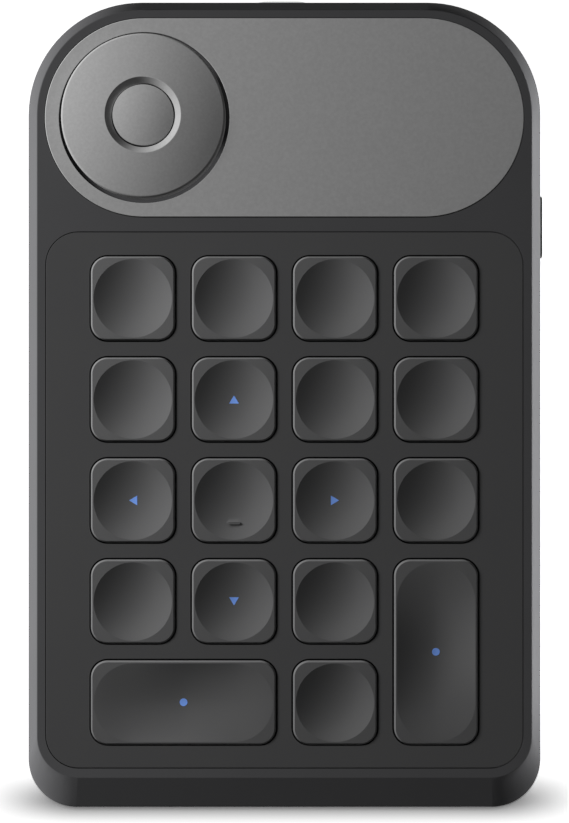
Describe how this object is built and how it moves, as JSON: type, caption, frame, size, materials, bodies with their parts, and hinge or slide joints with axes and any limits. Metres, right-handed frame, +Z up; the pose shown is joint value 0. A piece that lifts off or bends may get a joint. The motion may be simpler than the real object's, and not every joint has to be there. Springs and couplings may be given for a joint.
{
  "type": "macro keypad",
  "caption": "Slim wireless macro keypad: black slab with scooped keys, a grey stadium panel at the back with a domed dial that turns and a push button in its middle, and a USB-C socket.",
  "frame": {"origin": "on the desk plane, under the middle of the case's plan", "axes": "+X to the right edge, +Y to the back edge with the dial and the USB-C socket, +Z up"},
  "size_m": [0.0977, 0.1531, 0.0163],
  "materials": {
    "black_case": "fine textured black",
    "black_deck": "fine textured black",
    "black_cap": "smooth matte black",
    "black_button": "matte black",
    "grey_panel": "satin anodised grey",
    "grey_dial": "satin anodised grey",
    "inner_plastic": "moulded black",
    "circuit_board": "green solder mask",
    "battery_foil": "laminated foil pouch",
    "bright_steel": "bright spring steel",
    "dark_steel": "black oxide",
    "rubber_feet": "matte rubber",
    "silicone": "translucent silicone"
  },
  "bodies": {
    "case": {"top_case": "black_case", "base_shell": "black_case", "header_panel": "grey_panel", "key_deck": "black_deck", "guide_frame": "inner_plastic", "main_board": "circuit_board", "battery": "battery_foil", "usb_shell": "bright_steel", "usb_tongue": "inner_plastic", "encoder_body": "inner_plastic", "detent_spring": "bright_steel", "button_switch": "bright_steel", "power_switch": "inner_plastic", "controller_chip": "inner_plastic", "case_screws": "dark_steel", "rubber_feet": "rubber_feet", "key_r1_c1_dome": "silicone", "key_r1_c2_dome": "silicone", "key_r1_c3_dome": "silicone", "key_r1_c4_dome": "silicone", "key_r2_c1_dome": "silicone", "key_r2_c2_dome": "silicone", "key_r2_c3_dome": "silicone", "key_r2_c4_dome": "silicone", "key_r3_c1_dome": "silicone", "key_r3_c2_dome": "silicone", "key_r3_c3_dome": "silicone", "key_r3_c4_dome": "silicone", "key_r4_c1_dome": "silicone", "key_r4_c2_dome": "silicone", "key_r4_c3_dome": "silicone", "key_r5_c3_dome": "silicone", "wide_key_dome": "silicone", "tall_key_dome": "silicone"},
    "key_r1_c1": {"key_r1_c1": "black_cap"},
    "key_r1_c2": {"key_r1_c2": "black_cap"},
    "key_r1_c3": {"key_r1_c3": "black_cap"},
    "key_r1_c4": {"key_r1_c4": "black_cap"},
    "key_r2_c1": {"key_r2_c1": "black_cap"},
    "key_r2_c2": {"key_r2_c2": "black_cap"},
    "key_r2_c3": {"key_r2_c3": "black_cap"},
    "key_r2_c4": {"key_r2_c4": "black_cap"},
    "key_r3_c1": {"key_r3_c1": "black_cap"},
    "key_r3_c2": {"key_r3_c2": "black_cap"},
    "key_r3_c3": {"key_r3_c3": "black_cap"},
    "key_r3_c4": {"key_r3_c4": "black_cap"},
    "key_r4_c1": {"key_r4_c1": "black_cap"},
    "key_r4_c2": {"key_r4_c2": "black_cap"},
    "key_r4_c3": {"key_r4_c3": "black_cap"},
    "key_r5_c3": {"key_r5_c3": "black_cap"},
    "wide_key": {"wide_key": "black_cap"},
    "tall_key": {"tall_key": "black_cap"},
    "dial": {"dial_knob": "grey_dial", "dial_clip": "bright_steel", "encoder_rotor": "inner_plastic"},
    "dial_button": {"dial_button": "grey_dial"},
    "power_button": {"power_button": "black_button"},
    "wide_key_bar": {"wide_key_bar": "bright_steel"},
    "tall_key_bar": {"tall_key_bar": "bright_steel"}
  },
  "joints": [
    {"name": "key_r1_c1_press", "type": "slide", "parent": "case", "child": "key_r1_c1", "axis": [0, 0, -1], "range_m": [0, 0.0013], "stiffness_N_per_m": 300, "springref_m": -0.0003, "deforming": ["key_r1_c1_dome"]},
    {"name": "key_r1_c2_press", "type": "slide", "parent": "case", "child": "key_r1_c2", "axis": [0, 0, -1], "range_m": [0, 0.0013], "stiffness_N_per_m": 300, "springref_m": -0.0003, "deforming": ["key_r1_c2_dome"]},
    {"name": "key_r1_c3_press", "type": "slide", "parent": "case", "child": "key_r1_c3", "axis": [0, 0, -1], "range_m": [0, 0.0013], "stiffness_N_per_m": 300, "springref_m": -0.0003, "deforming": ["key_r1_c3_dome"]},
    {"name": "key_r1_c4_press", "type": "slide", "parent": "case", "child": "key_r1_c4", "axis": [0, 0, -1], "range_m": [0, 0.0013], "stiffness_N_per_m": 300, "springref_m": -0.0003, "deforming": ["key_r1_c4_dome"]},
    {"name": "key_r2_c1_press", "type": "slide", "parent": "case", "child": "key_r2_c1", "axis": [0, 0, -1], "range_m": [0, 0.0013], "stiffness_N_per_m": 300, "springref_m": -0.0003, "deforming": ["key_r2_c1_dome"]},
    {"name": "key_r2_c2_press", "type": "slide", "parent": "case", "child": "key_r2_c2", "axis": [0, 0, -1], "range_m": [0, 0.0013], "stiffness_N_per_m": 300, "springref_m": -0.0003, "deforming": ["key_r2_c2_dome"]},
    {"name": "key_r2_c3_press", "type": "slide", "parent": "case", "child": "key_r2_c3", "axis": [0, 0, -1], "range_m": [0, 0.0013], "stiffness_N_per_m": 300, "springref_m": -0.0003, "deforming": ["key_r2_c3_dome"]},
    {"name": "key_r2_c4_press", "type": "slide", "parent": "case", "child": "key_r2_c4", "axis": [0, 0, -1], "range_m": [0, 0.0013], "stiffness_N_per_m": 300, "springref_m": -0.0003, "deforming": ["key_r2_c4_dome"]},
    {"name": "key_r3_c1_press", "type": "slide", "parent": "case", "child": "key_r3_c1", "axis": [0, 0, -1], "range_m": [0, 0.0013], "stiffness_N_per_m": 300, "springref_m": -0.0003, "deforming": ["key_r3_c1_dome"]},
    {"name": "key_r3_c2_press", "type": "slide", "parent": "case", "child": "key_r3_c2", "axis": [0, 0, -1], "range_m": [0, 0.0013], "stiffness_N_per_m": 300, "springref_m": -0.0003, "deforming": ["key_r3_c2_dome"]},
    {"name": "key_r3_c3_press", "type": "slide", "parent": "case", "child": "key_r3_c3", "axis": [0, 0, -1], "range_m": [0, 0.0013], "stiffness_N_per_m": 300, "springref_m": -0.0003, "deforming": ["key_r3_c3_dome"]},
    {"name": "key_r3_c4_press", "type": "slide", "parent": "case", "child": "key_r3_c4", "axis": [0, 0, -1], "range_m": [0, 0.0013], "stiffness_N_per_m": 300, "springref_m": -0.0003, "deforming": ["key_r3_c4_dome"]},
    {"name": "key_r4_c1_press", "type": "slide", "parent": "case", "child": "key_r4_c1", "axis": [0, 0, -1], "range_m": [0, 0.0013], "stiffness_N_per_m": 300, "springref_m": -0.0003, "deforming": ["key_r4_c1_dome"]},
    {"name": "key_r4_c2_press", "type": "slide", "parent": "case", "child": "key_r4_c2", "axis": [0, 0, -1], "range_m": [0, 0.0013], "stiffness_N_per_m": 300, "springref_m": -0.0003, "deforming": ["key_r4_c2_dome"]},
    {"name": "key_r4_c3_press", "type": "slide", "parent": "case", "child": "key_r4_c3", "axis": [0, 0, -1], "range_m": [0, 0.0013], "stiffness_N_per_m": 300, "springref_m": -0.0003, "deforming": ["key_r4_c3_dome"]},
    {"name": "key_r5_c3_press", "type": "slide", "parent": "case", "child": "key_r5_c3", "axis": [0, 0, -1], "range_m": [0, 0.0013], "stiffness_N_per_m": 300, "springref_m": -0.0003, "deforming": ["key_r5_c3_dome"]},
    {"name": "wide_key_press", "type": "slide", "parent": "case", "child": "wide_key", "axis": [0, 0, -1], "range_m": [0, 0.0013], "stiffness_N_per_m": 340, "springref_m": -0.0003, "deforming": ["wide_key_dome"]},
    {"name": "tall_key_press", "type": "slide", "parent": "case", "child": "tall_key", "axis": [0, 0, -1], "range_m": [0, 0.0013], "stiffness_N_per_m": 340, "springref_m": -0.0003, "deforming": ["tall_key_dome"]},
    {"name": "dial_turn", "type": "hinge", "parent": "case", "child": "dial", "pos_m": [-0.02647, 0.0542, 0.0104], "axis": [0, 0, 1], "continuous": true, "deforming": ["detent_spring"]},
    {"name": "dial_button_press", "type": "slide", "parent": "case", "child": "dial_button", "axis": [0, 0, -1], "range_m": [0, 0.0005], "stiffness_N_per_m": 900, "springref_m": -0.0002, "deforming": ["button_switch"]},
    {"name": "power_button_press", "type": "slide", "parent": "case", "child": "power_button", "axis": [-1, 0, 0], "range_m": [0, 0.0003], "stiffness_N_per_m": 900, "springref_m": -0.0002},
    {"name": "wide_key_bar_swing", "type": "hinge", "parent": "case", "child": "wide_key_bar", "pos_m": [-0.01905, -0.05745, 0.0075], "axis": [-1, 0, 0], "range_deg": [0, 12.56]},
    {"name": "tall_key_bar_swing", "type": "hinge", "parent": "case", "child": "tall_key_bar", "pos_m": [0.02987, -0.04662, 0.0075], "axis": [0, -1, 0], "range_deg": [0, 12.56]}
  ],
  "couplings": [
    {"joint": "wide_key_bar_swing", "follows": "wide_key_press", "rad_per_m": 168},
    {"joint": "tall_key_bar_swing", "follows": "tall_key_press", "rad_per_m": 168}
  ]
}
